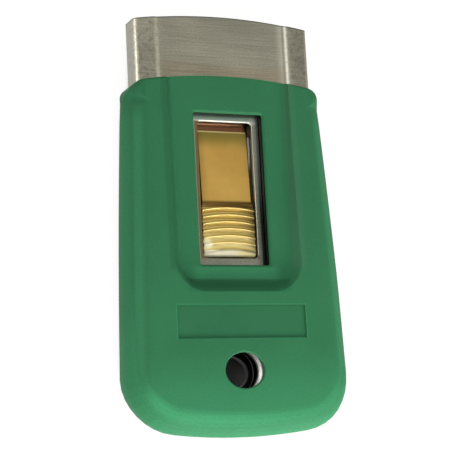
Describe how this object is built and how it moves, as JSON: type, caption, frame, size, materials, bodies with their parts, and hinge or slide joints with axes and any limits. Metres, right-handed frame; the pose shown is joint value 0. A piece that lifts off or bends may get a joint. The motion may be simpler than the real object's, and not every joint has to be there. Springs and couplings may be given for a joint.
{
  "type": "safety scraper",
  "caption": "Pocket scraper whose single-edge blade slides out of a steel sheath on a carrier with a sprung brass thumb leaf, in a rubber grip sleeve with a hang hole.",
  "frame": {"origin": "centre of the tool's outline on the plane of the flat rubber back that it lies on", "axes": "+Y towards the blade end, +X to the right seen from the front, +Z out of the front face with the thumb window"},
  "size_m": [0.0522, 0.0934, 0.0109],
  "materials": {
    "green_rubber": "matte",
    "sheath_steel": "brushed across the tool",
    "inner_steel": "as rolled",
    "plated_steel": "zinc plated",
    "blade_steel": "ground and oiled",
    "brass": "satin"
  },
  "bodies": {
    "holder": {"grip_sleeve": "green_rubber", "sheath_front": "sheath_steel", "sheath_back": "sheath_steel", "guide_frame": "inner_steel"},
    "blade_carriage": {"blade_carrier": "plated_steel", "razor_blade": "blade_steel", "blade_spine": "blade_steel", "leaf_rivet_left": "brass", "leaf_rivet_right": "brass"},
    "leaf": {"thumb_leaf": "brass"}
  },
  "joints": [
    {"name": "blade_slide", "type": "slide", "parent": "holder", "child": "blade_carriage", "axis": [0, 1, 0], "range_m": [0, 0.016]},
    {"name": "thumb_press", "type": "hinge", "parent": "blade_carriage", "child": "leaf", "pos_m": [0, 0.0209, 0.00415], "axis": [1, 0, 0], "range_deg": [0, 2], "stiffness_Nm_per_rad": 1.5}
  ]
}
